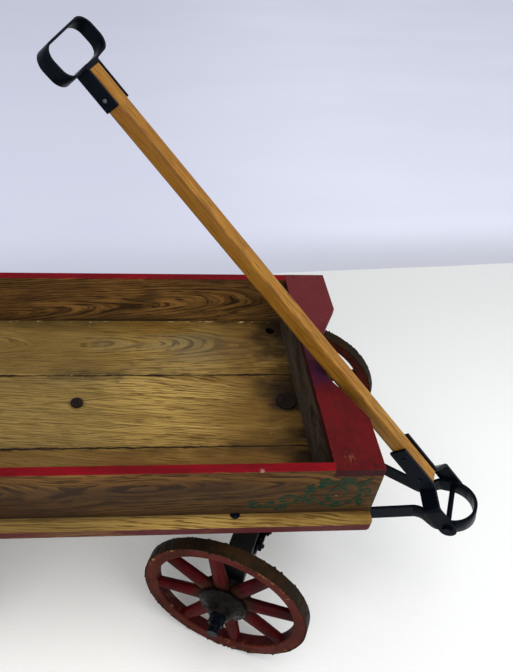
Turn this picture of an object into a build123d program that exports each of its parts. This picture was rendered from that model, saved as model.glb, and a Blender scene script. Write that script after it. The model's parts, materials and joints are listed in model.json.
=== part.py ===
"""Coaster wagon: a wooden bed on four spoked wheels, steered by a drawbar with a pole handle.

Millimetres, X forward, Y to the left, Z up. The bed is modelled about its own middle and the
ground, the front gear about its kingpin and straight ahead, the handle about its hinge pin and
upright, and each wheel about its own centre. Each group is then set into the stored pose.
"""
import os
from math import cos, radians, tan

from build123d import *

# Bed
BED_LENGTH = 787.0
BOX_WIDTH = 381.0          # outside the side boards
SIDE_HEIGHT = 92.0
BOARD = 12.7               # thickness of every board of the box
FLOOR_ABOVE_AXLE = 178.0   # from the axles up to the floor's top
LEDGE = 20.3               # floor outside each side board
FLOOR_CORNER = 9.0         # rounding of the floor's corners
FLOOR_JOINTS = (-82.0, 56.0)    # Y of the two joints between the three floor boards
JOINT_GAP = 0.8            # between two floor boards
CAP_WIDTH = 64.0           # front cap board, front to back
CAP_OVERHANG = 2.5         # of the cap behind the front end board
CAP_EDGE = 4.0             # rounding under the cap's front edge
RECESS_HALF = 107.5        # from the middle to where the cap's edge turns in
RECESS_SHOULDER = (62.0, 24.5)  # Y and depth where the recess' flank ends
RECESS_FLOOR = (34.0, 41.5)     # Y and depth of the recess' straight bottom
RECESS_ROUND = 7.0
REAR_BOARD_INSET = 14.0    # from the side boards' rear ends to the rear end board

# Blocks under the floor
CLEAT_LENGTH = 372.0
CLEAT_WIDTH = 89.0
CLEAT_HEIGHT = 19.0
MIDDLE_CLEAT_WIDTH = 38.0
MIDDLE_CLEAT_HEIGHT = 38.0
BOLSTER_WIDTH = 44.0
BOLSTER_LENGTH = 254.0
KINGPIN_INSET = 80.0       # from the bed's front end to the steering axis
REAR_AXLE_INSET = 95.0     # from the bed's rear end to the rear axle
BED_HOLE_Y = 154.6
BED_HOLE_RADIUS = 7.0

# Steering
PLATE_RADIUS = 76.0
PLATE = 3.2
PLATE_GAP = 0.5
KINGPIN_RADIUS = 6.35
KINGPIN_HEAD_RADIUS = 15.5
KINGPIN_HEAD = 4.0
KINGPIN_HEAD_ROUND = 2.0
KINGPIN_ABOVE_AXLE = 6.0   # from the top of the axle to the kingpin's lower end
CENTRE_BOLT_RADIUS = 4.0
CENTRE_BOLT_HEAD_RADIUS = 9.0
CENTRE_BOLT_HEAD = 2.6
CENTRE_NUT_RADIUS = 7.5
CENTRE_NUT = 6.0
CENTRE_BOLT_TAIL = 2.0     # thread below the nut
RUNNING_FIT = 0.1          # on the radius
STEER = -25.4              # degrees, the stored turn of the front gear

# Axles and wheels
WHEEL_RADIUS = 122.5
HALF_TRACK = 236.0
AXLE_TRAIL = 3.3           # front axle ahead of the kingpin
BEAM_WIDTH = 34.0
BEAM_BELOW_AXLE = 16.0
BEAM_HEIGHT = 76.0
COLLAR = 2.0               # thickness of the axle's collars, against the beam's ends
AXLE_RADIUS = 8.0
AXLE_REACH = 57.0          # rod end beyond the middle of the tread
TREAD = 20.6               # width of the tyre
TYRE = 2.4                 # thickness of the tyre
FELLOE_WIDTH = 19.0
FELLOE_DEPTH = 17.2        # from the tyre in to the felloe's inner edge
FELLOE_CHAMFER = 2.0
SPOKES = 8
SPOKE_PHASE = 15.0
SPOKE_ROOT = (12.2, 8.5)   # half widths along the rim and along the axle, at the hub
SPOKE_TIP = (9.5, 7.5)     # the same at the felloe
SPOKE_SPARE = 1.0          # length cut off at each end to meet the round hub and felloe
HUB_RADIUS = 31.0          # wooden middle that the spokes meet
HUB_PLATE_RADIUS = 36.0
HUB_PLATE = 3.0
BARREL_RADIUS = 17.0
BARREL_OUT = 30.5          # barrel end beyond the middle of the tread
BARREL_IN = 24.0
COLLAR_RADIUS = 13.0
SIDE_PLAY = 0.5
AXLE_NUT_RADIUS = 11.5
AXLE_NUT = 12.0

# Drawbar
STRAP = 4.8                # thickness of the strap iron
STRAP_HEIGHT = 25.4
DRAWBAR_HEIGHT = 22.2
PIN_AHEAD = 276.5          # hinge pin ahead of the kingpin
PIN_ABOVE_AXLE = 74.5
DRAWBAR_SLOPE = 12.0       # degrees, the drawbar's rise towards its bow
BOW_HALF = 40.0            # half the bow's outer width
BOW_AHEAD = 37.5           # bow's outer front beyond the pin
FLARE_BEHIND = 18.5        # where the bow's sides begin to close, behind the pin
WAIST_BEHIND = 42.5
WAIST_HALF = 23.5
BEND_RADII = (10.0, 22.0, 14.0)  # at the foot, the waist and the bow's side
BOW_FLAT = 1.0             # half the straight run at the bow's front
FOOT_BEND = 98.0           # from the middle to where each leg meets the axle beam
FOOT_END = 157.0
FOOT_AHEAD = 60.0          # the strap stands upright up to this far ahead of the kingpin
PIN_RADIUS = 4.0
PIN_HEAD_RADIUS = 7.5
PIN_HEAD = 4.0

# Rear brace
BRACE_TOE = 34.0           # half distance between the legs at the middle cleat
BRACE_TOE_LENGTH = 34.0
BRACE_BEND = 10.0

# Handle
LEAN = 47.1                # degrees back from upright, the stored lean
POLE_WIDTH = 25.4          # along the pin
POLE_THICKNESS = 22.0
POLE_START = 62.0          # from the pin to the pole's lower end
POLE_LENGTH = 757.5
POLE_CHAMFER = 2.5
YOKE_GAP = 0.5             # between the yoke straps and the bow
YOKE_LENGTH = 140.0        # from the pin to the straps' upper ends
YOKE_END = 1.5             # from the pin to the middle of the straps' round lower ends
YOKE_JOG = (41.0, 61.0)    # where the straps close in on the pole
YOKE_BEND = 8.0
GRIP_STRAP = 3.2
GRIP_STRAP_WIDTH = 20.6
GRIP_TAIL = 52.0           # tails' length on the pole
GRIP_BASE = 4.0            # from the pole's end to the loop's lower edge
GRIP_HEIGHT = 51.0         # of the loop
GRIP_HALF_WIDTH = 56.0
GRIP_TURN = 4.5            # degrees, the loop is bent over to the right
GRIP_ROUND = (4.0, 17.0, 19.0)   # bends at the tails, the loop's base and its crown

# Worked out from the sizes above
HALF_BED = BED_LENGTH / 2
HALF_BOX = BOX_WIDTH / 2
FLOOR_TOP = WHEEL_RADIUS + FLOOR_ABOVE_AXLE
FLOOR_UNDER = FLOOR_TOP - BOARD
SIDE_TOP = FLOOR_TOP + SIDE_HEIGHT
KINGPIN_X = HALF_BED - KINGPIN_INSET
REAR_AXLE_X = -HALF_BED + REAR_AXLE_INSET
BEAM_BOTTOM = WHEEL_RADIUS - BEAM_BELOW_AXLE
BEAM_TOP = BEAM_BOTTOM + BEAM_HEIGHT
BOLSTER_BOTTOM = BEAM_TOP + 2 * PLATE + PLATE_GAP
CLEAT_BOTTOM = FLOOR_UNDER - CLEAT_HEIGHT
KINGPIN_LOW = WHEEL_RADIUS + AXLE_RADIUS + KINGPIN_ABOVE_AXLE
FELLOE_INNER = WHEEL_RADIUS - TYRE - FELLOE_DEPTH
COLLAR_OUT = HALF_TRACK - BARREL_IN - SIDE_PLAY
BEAM_LENGTH = 2 * (COLLAR_OUT - COLLAR)
CAP_BACK = HALF_BED - CAP_WIDTH
FRONT_BOARD_BACK = CAP_BACK + CAP_OVERHANG
PIN_HEIGHT = WHEEL_RADIUS + PIN_ABOVE_AXLE
BEAM_FACE = AXLE_TRAIL + BEAM_WIDTH / 2
FOOT_HEIGHT = PIN_HEIGHT - (PIN_AHEAD - BEAM_FACE) * tan(radians(DRAWBAR_SLOPE))


def block(x, y, z):
    """Box from three (low, high) pairs."""
    return Pos(x[0], y[0], z[0]) * Box(x[1] - x[0], y[1] - y[0], z[1] - z[0], align=(Align.MIN,) * 3)


def centred(middle, size):
    return (middle - size / 2, middle + size / 2)


def rod(radius, low, high):
    """Cylinder along Z."""
    return Pos(0, 0, low) * Cylinder(radius, high - low, align=(Align.CENTER, Align.CENTER, Align.MIN))


def across(shape):
    """Turn a shape built along Z to lie along Y, its top end towards +Y."""
    return Rot(X=-90) * shape


def strap_outline(points, radii, thickness):
    """Flat outline of a strap bent along a path of straight runs and arcs."""
    path = FilletPolyline(*points, radius=radii)
    return make_face(Wire(path.edges()).offset_2d(thickness / 2, kind=Kind.INTERSECTION))


def outline_prism(outline, low, high):
    return Pos(0, 0, low) * extrude(outline, high - low)


def band(points, height, half_width):
    """Slab along Y whose side view follows the (x, z) points at the given height."""
    lower = [(x, z - height / 2) for x, z in points]
    upper = [(x, z + height / 2) for x, z in reversed(points)]
    side = make_face(Polyline(*lower, *upper, close=True))
    return Pos(0, half_width, 0) * (Rot(X=90) * extrude(side, 2 * half_width))


def keep(back, front):
    """Block that holds everything between two distances along X."""
    return block((back, front), (-BOX_WIDTH, BOX_WIDTH), (0, BED_LENGTH))


def floor_boards():
    edges = (-HALF_BOX - LEDGE, *FLOOR_JOINTS, HALF_BOX + LEDGE)
    whole = block((-HALF_BED, HALF_BED), (edges[0], edges[-1]), (FLOOR_UNDER, FLOOR_TOP))
    whole = fillet(whole.edges().filter_by(Axis.Z), FLOOR_CORNER)
    whole -= Pos(KINGPIN_X, 0) * rod(KINGPIN_RADIUS, 0, SIDE_TOP)
    whole -= rod(CENTRE_BOLT_RADIUS, 0, SIDE_TOP)
    whole -= Pos(KINGPIN_X, BED_HOLE_Y) * rod(BED_HOLE_RADIUS, 0, SIDE_TOP)
    boards = {}
    for name, right, left in zip(("right", "middle", "left"), edges, edges[1:]):
        right_gap = 0 if right == edges[0] else JOINT_GAP / 2
        left_gap = 0 if left == edges[-1] else JOINT_GAP / 2
        slot = block((-BED_LENGTH, BED_LENGTH), (right + right_gap, left - left_gap), (0, SIDE_TOP))
        boards["floor_board_" + name] = whole & slot
    return boards


def cap_outline():
    """Plan of the front cap: a straight board with a shallow recess in its front edge."""
    shoulder_y, shoulder_in = RECESS_SHOULDER
    floor_y, floor_in = RECESS_FLOOR
    front = [(HALF_BED, -HALF_BOX), (HALF_BED, -RECESS_HALF), (HALF_BED - shoulder_in, -shoulder_y),
             (HALF_BED - floor_in, -floor_y), (HALF_BED - floor_in, floor_y),
             (HALF_BED - shoulder_in, shoulder_y), (HALF_BED, RECESS_HALF), (HALF_BED, HALF_BOX)]
    face = make_face(Polyline(*front, (CAP_BACK, HALF_BOX), (CAP_BACK, -HALF_BOX), close=True))
    corners = [v for v in face.vertices() if abs(v.Y) < HALF_BOX - BOARD]
    return fillet(corners, RECESS_ROUND)


def box_boards():
    """Side boards, end boards and the front cap let into the side boards' tops."""
    cap = outline_prism(cap_outline(), SIDE_TOP - BOARD, SIDE_TOP)
    lower_front = cap.edges().filter_by(GeomType.LINE).filter_by(Axis.Y).group_by(Axis.Z)[0]
    cap = fillet(lower_front.filter_by(lambda edge: edge.center().X > HALF_BED - 1), CAP_EDGE)
    boards = {"front_cap": cap}
    notch = block((CAP_BACK, HALF_BED), (-HALF_BOX, HALF_BOX), (SIDE_TOP - BOARD, SIDE_TOP))
    for name, side in (("left", 1), ("right", -1)):
        board = block((-HALF_BED, HALF_BED), centred(side * (HALF_BOX - BOARD / 2), BOARD),
                      (FLOOR_TOP, SIDE_TOP))
        boards["side_board_" + name] = board - notch
    inside = (-HALF_BOX + BOARD, HALF_BOX - BOARD)
    rear = -HALF_BED + REAR_BOARD_INSET
    boards["end_board_front"] = block((FRONT_BOARD_BACK, FRONT_BOARD_BACK + BOARD), inside,
                                      (FLOOR_TOP, SIDE_TOP - BOARD))
    boards["end_board_rear"] = block((rear, rear + BOARD), inside, (FLOOR_TOP, SIDE_TOP))
    return boards


def under_blocks():
    """Cleats and bolsters that carry the bed on its two axles."""
    kingpin_hole = Pos(KINGPIN_X, 0) * rod(KINGPIN_RADIUS, 0, SIDE_TOP)
    bed_hole = Pos(KINGPIN_X, BED_HOLE_Y) * rod(BED_HOLE_RADIUS, 0, SIDE_TOP)
    long = centred(0, CLEAT_LENGTH)
    blocks = {}
    for name, x in (("front", KINGPIN_X), ("rear", REAR_AXLE_X)):
        blocks["cleat_" + name] = block(centred(x, CLEAT_WIDTH), long, (CLEAT_BOTTOM, FLOOR_UNDER))
        blocks["bolster_" + name] = block(centred(x, BOLSTER_WIDTH), centred(0, BOLSTER_LENGTH),
                                          (BOLSTER_BOTTOM, CLEAT_BOTTOM))
    blocks["cleat_front"] -= kingpin_hole + bed_hole
    blocks["bolster_front"] -= kingpin_hole
    blocks["cleat_middle"] = block(centred(0, MIDDLE_CLEAT_WIDTH), long,
                                   (FLOOR_UNDER - MIDDLE_CLEAT_HEIGHT, FLOOR_UNDER))
    blocks["cleat_middle"] -= rod(CENTRE_BOLT_RADIUS, 0, SIDE_TOP)
    plate = rod(PLATE_RADIUS, BOLSTER_BOTTOM - PLATE, BOLSTER_BOTTOM) - rod(KINGPIN_RADIUS, 0, SIDE_TOP)
    blocks["turn_plate_upper"] = Pos(KINGPIN_X, 0) * plate
    return blocks


def bolts():
    """Kingpin, its lower end let into the axle beam, and the bolt in the middle of the floor."""
    head = rod(KINGPIN_HEAD_RADIUS, FLOOR_TOP, FLOOR_TOP + KINGPIN_HEAD)
    head = fillet(head.edges().group_by(Axis.Z)[-1], KINGPIN_HEAD_ROUND)
    kingpin = rod(KINGPIN_RADIUS, KINGPIN_LOW, FLOOR_TOP) + head
    nut_low = FLOOR_UNDER - MIDDLE_CLEAT_HEIGHT - CENTRE_NUT
    centre = rod(CENTRE_BOLT_RADIUS, nut_low - CENTRE_BOLT_TAIL, FLOOR_TOP)
    centre += rod(CENTRE_BOLT_HEAD_RADIUS, FLOOR_TOP, FLOOR_TOP + CENTRE_BOLT_HEAD)
    centre += Pos(0, 0, nut_low) * extrude(RegularPolygon(CENTRE_NUT_RADIUS, 6), CENTRE_NUT)
    return {"kingpin": Pos(KINGPIN_X, 0) * kingpin, "centre_bolt": centre}


def axle_beam(top):
    beam = block(centred(0, BEAM_WIDTH), centred(0, BEAM_LENGTH), (BEAM_BOTTOM, top))
    return beam - Pos(0, 0, WHEEL_RADIUS) * across(rod(AXLE_RADIUS, -BEAM_LENGTH, BEAM_LENGTH))


def axle_rod():
    """Steel axle with a collar inside each wheel and a nut outside it."""
    end = HALF_TRACK + AXLE_REACH
    shape = rod(AXLE_RADIUS, -end, end)
    for side in (1, -1):
        nut_in = HALF_TRACK + BARREL_OUT + SIDE_PLAY
        collar = rod(COLLAR_RADIUS, COLLAR_OUT - COLLAR, COLLAR_OUT)
        nut = Pos(0, 0, nut_in) * extrude(RegularPolygon(AXLE_NUT_RADIUS, 6), AXLE_NUT)
        shape += (collar + nut) if side == 1 else Rot(X=180) * (collar + nut)
    return Pos(0, 0, WHEEL_RADIUS) * across(shape)


def wheel():
    """Tyre, felloe, spokes and hub about the wheel's centre, its outer side towards +Z."""
    felloe_outer = WHEEL_RADIUS - TYRE
    tyre = rod(WHEEL_RADIUS, *centred(0, TREAD)) - rod(felloe_outer, *centred(0, TREAD))
    felloe = rod(felloe_outer, *centred(0, FELLOE_WIDTH)) - rod(FELLOE_INNER, *centred(0, FELLOE_WIDTH))
    felloe = chamfer(felloe.edges().filter_by(GeomType.CIRCLE).group_by(SortBy.RADIUS)[0], FELLOE_CHAMFER)
    root = Plane((HUB_RADIUS - SPOKE_SPARE, 0, 0), x_dir=(0, 1, 0), z_dir=(1, 0, 0))
    tip = Plane((FELLOE_INNER + FELLOE_CHAMFER + SPOKE_SPARE, 0, 0), x_dir=(0, 1, 0), z_dir=(1, 0, 0))
    spoke = loft([root * Ellipse(*SPOKE_ROOT), tip * Ellipse(*SPOKE_TIP)])
    spoke = spoke - rod(HUB_RADIUS, *centred(0, TREAD)) - felloe
    spoke &= rod(FELLOE_INNER + SPOKE_SPARE, *centred(0, TREAD))
    spokes = [Rot(Z=SPOKE_PHASE + i * 360 / SPOKES) * spoke for i in range(SPOKES)]
    hub = rod(HUB_RADIUS, *centred(0, FELLOE_WIDTH)) + rod(BARREL_RADIUS, -BARREL_IN, BARREL_OUT)
    for side in (1, -1):
        face = side * FELLOE_WIDTH / 2
        hub += rod(HUB_PLATE_RADIUS, *sorted((face, face + side * HUB_PLATE)))
    hub -= rod(AXLE_RADIUS + RUNNING_FIT, -BARREL_IN, BARREL_OUT)
    return {"tyre": tyre, "felloe": felloe, "spokes": Compound(spokes), "hub": hub}


def drawbar():
    """A-shaped drawbar: one strap on edge, bent round to a bow at the front.

    Its legs and bow lie in a plane that rises forward, and its feet stand upright on the axle beam.
    """
    half = STRAP / 2
    along = cos(radians(DRAWBAR_SLOPE))
    foot = (BEAM_FACE + half - PIN_AHEAD) / along
    left = [(foot, FOOT_END), (foot, FOOT_BEND), (-WAIST_BEHIND, WAIST_HALF - half),
            (-FLARE_BEHIND, BOW_HALF - half), (BOW_AHEAD - half, BOW_HALF - half)]
    path = left + [(x, -y) for x, y in reversed(left)]
    radii = [*BEND_RADII, BOW_HALF - half - BOW_FLAT]
    radii += reversed(radii)
    rising = outline_prism(strap_outline(path, radii, STRAP), *centred(0, DRAWBAR_HEIGHT))
    rising = Pos(PIN_AHEAD, 0, PIN_HEIGHT) * Rot(Y=-DRAWBAR_SLOPE) * rising
    level = [(PIN_AHEAD + x * along, y) for x, y in path]
    upright = outline_prism(strap_outline(level, radii, STRAP), 0, SIDE_TOP)
    ends = [(x, PIN_HEIGHT + tan(radians(DRAWBAR_SLOPE)) * (x - PIN_AHEAD)) for x in (0, PIN_AHEAD)]
    upright &= band(ends, DRAWBAR_HEIGHT / along, BOX_WIDTH)
    bar = (rising & keep(FOOT_AHEAD, BED_LENGTH)) + (upright & keep(0, FOOT_AHEAD))
    return bar - Pos(PIN_AHEAD, 0, PIN_HEIGHT) * across(rod(PIN_RADIUS, -BOX_WIDTH, BOX_WIDTH))


def hinge_pin():
    reach = BOW_HALF + YOKE_GAP + STRAP + YOKE_GAP
    pin = rod(PIN_RADIUS, -reach, reach)
    for side in (1, -1):
        pin += rod(PIN_HEAD_RADIUS, *sorted((side * reach, side * (reach + PIN_HEAD))))
    return Pos(PIN_AHEAD, 0, PIN_HEIGHT) * across(pin)


def rear_brace():
    """Two straps on edge from the rear axle beam up to the middle cleat."""
    half = STRAP / 2
    start = REAR_AXLE_X + BEAM_WIDTH / 2 + half
    stop = -MIDDLE_CLEAT_WIDTH / 2 - half
    toe_z = FLOOR_UNDER - MIDDLE_CLEAT_HEIGHT / 2
    points = [(start, FOOT_END), (start, FOOT_BEND), (stop, BRACE_TOE), (stop, BRACE_TOE + BRACE_TOE_LENGTH)]
    outline = strap_outline(points, [BRACE_BEND] * 2, STRAP)
    side_view = [(start - STRAP, FOOT_HEIGHT), (start + STRAP, FOOT_HEIGHT),
                 (stop - STRAP, toe_z), (stop + STRAP, toe_z)]
    leg = outline_prism(outline, 0, SIDE_TOP) & band(side_view, DRAWBAR_HEIGHT, BOX_WIDTH)
    return Compound([leg, mirror(leg, Plane.XZ)])


def handle():
    """Pole, yoke straps and grip, upright above the pin, which lies along Y at the origin."""
    pole = block(centred(0, POLE_THICKNESS), centred(0, POLE_WIDTH), (POLE_START, POLE_START + POLE_LENGTH))
    pole = chamfer(pole.edges().filter_by(Axis.Z), POLE_CHAMFER)
    half = STRAP / 2
    low = BOW_HALF + YOKE_GAP + half
    high = POLE_WIDTH / 2 + half
    end = YOKE_END + STRAP_HEIGHT / 2
    outline = strap_outline([(-end, low), (YOKE_JOG[0], low), (YOKE_JOG[1], high), (YOKE_LENGTH, high)],
                            [YOKE_BEND] * 2, STRAP)
    strap = outline_prism(outline, *centred(0, STRAP_HEIGHT))
    side = Pos(-YOKE_END, 0) * across(rod(STRAP_HEIGHT / 2, -BOX_WIDTH, BOX_WIDTH))
    side += block((-YOKE_END, YOKE_LENGTH), (-BOX_WIDTH, BOX_WIDTH), centred(0, STRAP_HEIGHT))
    side -= across(rod(PIN_RADIUS + RUNNING_FIT, -BOX_WIDTH, BOX_WIDTH))
    upright = Rot(Y=-90)
    strap = upright * (strap & side)
    return {"pole": pole, "yoke_strap_left": strap, "yoke_strap_right": mirror(strap, Plane.XZ),
            "grip": upright * grip()}


def grip():
    """Strap bent to a loop, its tails on the pole's sides, lying along X with the pin at the origin."""
    top = POLE_START + POLE_LENGTH
    thin = GRIP_STRAP / 2
    tail = POLE_WIDTH / 2 + thin
    wide = GRIP_HALF_WIDTH - thin
    base = top + GRIP_BASE + thin
    loop = [(0, -wide), (GRIP_HEIGHT - GRIP_STRAP, -wide), (GRIP_HEIGHT - GRIP_STRAP, wide), (0, wide)]
    turned = [Vector(x, y).rotate(Axis.Z, -GRIP_TURN) for x, y in loop]
    path = [(top - GRIP_TAIL, -tail), (base, -tail), *((base + p.X, p.Y) for p in turned),
            (base, tail), (top - GRIP_TAIL, tail)]
    radii = [*GRIP_ROUND, *reversed(GRIP_ROUND)]
    shape = outline_prism(strap_outline(path, radii, GRIP_STRAP), *centred(0, GRIP_STRAP_WIDTH))
    return shape + block((top, base + thin), centred(0, 2 * tail), centred(0, GRIP_STRAP_WIDTH))


def front_gear():
    """Everything that steers with the front axle, straight ahead about the kingpin."""
    hole = rod(KINGPIN_RADIUS + RUNNING_FIT, KINGPIN_LOW - PLATE_GAP, SIDE_TOP)
    place = Pos(AXLE_TRAIL, 0)
    plate = rod(PLATE_RADIUS, BEAM_TOP, BEAM_TOP + PLATE) - hole
    return {"axle_beam_front": place * axle_beam(BEAM_TOP) - hole, "axle_front": place * axle_rod(),
            "turn_plate_lower": plate, "drawbar": drawbar(), "drawbar_pin": hinge_pin()}


def wagon():
    """All pieces in the stored pose, by node name."""
    pieces = {}
    for group in (floor_boards(), box_boards(), under_blocks(), bolts()):
        pieces.update(group)
    to_rear = Pos(REAR_AXLE_X, 0)
    pieces["axle_beam_rear"] = to_rear * axle_beam(BOLSTER_BOTTOM)
    pieces["axle_rear"] = to_rear * axle_rod()
    pieces["rear_brace"] = rear_brace()
    to_gear = Pos(KINGPIN_X, 0) * Rot(Z=STEER)
    for name, shape in front_gear().items():
        pieces[name] = to_gear * shape
    to_handle = to_gear * Pos(PIN_AHEAD, 0, PIN_HEIGHT) * Rot(Y=-LEAN)
    for name, shape in handle().items():
        pieces[name] = to_handle * shape
    corners = (("front", to_gear * Pos(AXLE_TRAIL, 0)), ("rear", to_rear))
    for end, place in corners:
        for side, sign in (("left", 1), ("right", -1)):
            hub = place * Pos(0, sign * HALF_TRACK, WHEEL_RADIUS) * Rot(X=-90 * sign)
            for name, shape in wheel().items():
                pieces[f"{name}_{end}_{side}"] = hub * shape
    return pieces


def main():
    os.makedirs("parts", exist_ok=True)
    pieces = wagon()
    box = Compound(list(pieces.values())).bounding_box()
    to_origin = Pos(-box.center().X, -box.center().Y, -box.min.Z)
    print("bed's middle at", round(-box.center().X, 3), round(-box.center().Y, 3), round(-box.min.Z, 3))
    for name, shape in pieces.items():
        export_step(to_origin * shape, f"parts/{name}.step")
        print(name, len(shape.solids()), round(shape.volume))


main()
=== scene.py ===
# %% [markdown]
# # A coaster wagon, dressed for its picture
# The wagon comes from CAD as a frame of plain solids: boards, straps, wheels and a pole. This
# notebook gives them wood grain, worn paint, rust and the small ironwork that a maker adds last.
# The frame is loaded first and never moved, so that everything made here already fits it.

# %% The frame
import json
import math
import bmesh
import bpy
from mathutils import Matrix, Vector

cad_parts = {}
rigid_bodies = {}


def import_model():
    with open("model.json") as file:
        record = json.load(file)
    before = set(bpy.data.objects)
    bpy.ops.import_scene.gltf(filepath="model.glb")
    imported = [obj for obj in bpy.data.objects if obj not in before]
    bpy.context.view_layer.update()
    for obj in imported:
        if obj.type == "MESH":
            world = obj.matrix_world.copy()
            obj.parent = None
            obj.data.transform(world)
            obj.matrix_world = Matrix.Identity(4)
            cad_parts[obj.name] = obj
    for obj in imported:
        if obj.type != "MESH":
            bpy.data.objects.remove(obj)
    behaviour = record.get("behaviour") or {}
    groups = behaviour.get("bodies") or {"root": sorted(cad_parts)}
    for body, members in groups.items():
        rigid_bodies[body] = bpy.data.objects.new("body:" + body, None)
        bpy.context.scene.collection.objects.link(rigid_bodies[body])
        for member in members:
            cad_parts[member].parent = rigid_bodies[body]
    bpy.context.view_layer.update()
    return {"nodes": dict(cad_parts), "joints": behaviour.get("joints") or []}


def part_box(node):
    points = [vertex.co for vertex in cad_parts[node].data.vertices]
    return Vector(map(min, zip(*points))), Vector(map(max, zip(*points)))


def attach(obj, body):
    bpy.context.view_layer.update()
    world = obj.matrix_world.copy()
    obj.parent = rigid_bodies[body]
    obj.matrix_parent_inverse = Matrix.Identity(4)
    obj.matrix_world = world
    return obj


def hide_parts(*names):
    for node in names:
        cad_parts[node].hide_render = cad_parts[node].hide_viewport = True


for leftover in list(bpy.data.objects):
    bpy.data.objects.remove(leftover)
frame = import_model()

# %% [markdown]
# ## Where things are
# The front axle stands turned and the handle leans back over the front board. Pieces on them are
# easier to think of straight, so two matrices carry a point from the straight gear, or from an
# upright handle, to where it stands. The turn is read from the hinge that the frame gives.
# SIDE_FACE is how far the side boards' outer faces stand from the wagon's middle.

# %% Places on the wagon
MM = 0.001
joints = {joint["name"]: joint for joint in frame["joints"]}
hinge = joints["handle_hinge"]
turn = math.atan2(-hinge["axis"][0], hinge["axis"][1])
kingpin = Vector((*joints["steering"]["pos_m"][:2], 0))
gear = Matrix.Translation(kingpin) @ Matrix.Rotation(turn, 4, "Z")
LEAN = math.radians(47.1)
handle = (Matrix.Translation(Vector(hinge["pos_m"])) @ Matrix.Rotation(turn, 4, "Z")
          @ Matrix.Rotation(-LEAN, 4, "Y"))
floor_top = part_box("floor_board_middle")[1].z
side_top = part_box("side_board_right")[1].z
bed_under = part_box("floor_board_left")[0].z
SIDE_FACE = 0.1905
print("front gear turned", round(math.degrees(turn), 1), "degrees; floor at", round(floor_top, 4))

# %% [markdown]
# ## Camera
# The picture was taken from above the near side, close by, with a short lens, and the wagon runs
# out of it on the left. It is a crop, whose centre of view lies far to its left, and a lens shift
# would match that. A shift that large would push the wagon out of the middle in every other view,
# so the camera turns a little towards the wagon instead, and a smaller shift does the rest.

# %% The camera
def placed(name, data):
    """A new object in the scene."""
    made = bpy.data.objects.new(name, data)
    bpy.context.scene.collection.objects.link(made)
    return made


PICTURE = (513, 672)
FOCAL_PIXELS, CENTRE_PIXEL = 744.463, (180.0, 295.429)
PITCH, YAW, ROLL = (math.radians(a) for a in (40.9856, 7.1352, -5.0251))
forward = Vector((math.sin(YAW) * math.cos(PITCH), math.cos(YAW) * math.cos(PITCH), -math.sin(PITCH)))
level = Vector((math.cos(YAW), -math.sin(YAW), 0))
downward = forward.cross(level)
right = math.cos(ROLL) * level + math.sin(ROLL) * downward
down = -math.sin(ROLL) * level + math.cos(ROLL) * downward
camera = placed("camera", bpy.data.cameras.new("camera"))
CAMERA_AT = (-0.04333, -0.72664, 1.14947)
camera.matrix_world = Matrix.Translation(CAMERA_AT) @ Matrix((right, -down, -forward)).transposed().to_4x4()
camera.data.lens = FOCAL_PIXELS * camera.data.sensor_width / PICTURE[1]
camera.data.shift_x = (PICTURE[0] / 2 - CENTRE_PIXEL[0]) / PICTURE[1]
camera.data.shift_y = (CENTRE_PIXEL[1] - PICTURE[1] / 2) / PICTURE[1]
bpy.context.scene.camera = camera
bpy.context.scene.view_settings.view_transform = "Standard"
shift = round(camera.data.shift_x, 3), round(camera.data.shift_y, 3)
print("lens", round(camera.data.lens, 1), "mm, shift", shift)

# %% [markdown]
# ## A bench for nodes
# Materials and Geometry Nodes are both trees of nodes. Wiring them one link at a time is slow to
# write and to read, so a small class adds a node, feeds its sockets and hands back its output.

# %% The bench
class Bench:
    def __init__(self, tree):
        self.tree = tree

    def feed(self, socket, value):
        if isinstance(value, bpy.types.NodeSocket):
            self.tree.links.new(value, socket)
        else:
            socket.default_value = value

    def node(self, kind, feeds=None, **settings):
        made = self.tree.nodes.new(kind)
        for setting, value in settings.items():
            setattr(made, setting, value)
        for socket, value in (feeds or {}).items():
            self.feed(made.inputs[socket], value)
        return made

    def math(self, operation, a, b=0.0, c=0.0):
        return self.node("ShaderNodeMath", {0: a, 1: b, 2: c}, operation=operation).outputs[0]

    def times(self, a, b):
        return self.math("MULTIPLY", a, b)

    def minus(self, a, b):
        return self.math("SUBTRACT", a, b)

    def size(self, a):
        """How far a is from zero, to either side."""
        return self.math("ABSOLUTE", a)

    def most(self, first, *others):
        """The largest of them."""
        for other in others:
            first = self.math("MAXIMUM", first, other)
        return first

    def split(self, vector):
        return self.node("ShaderNodeSeparateXYZ", {0: vector}).outputs

    def join(self, x, y, z):
        return self.node("ShaderNodeCombineXYZ", {0: x, 1: y, 2: z}).outputs[0]

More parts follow.
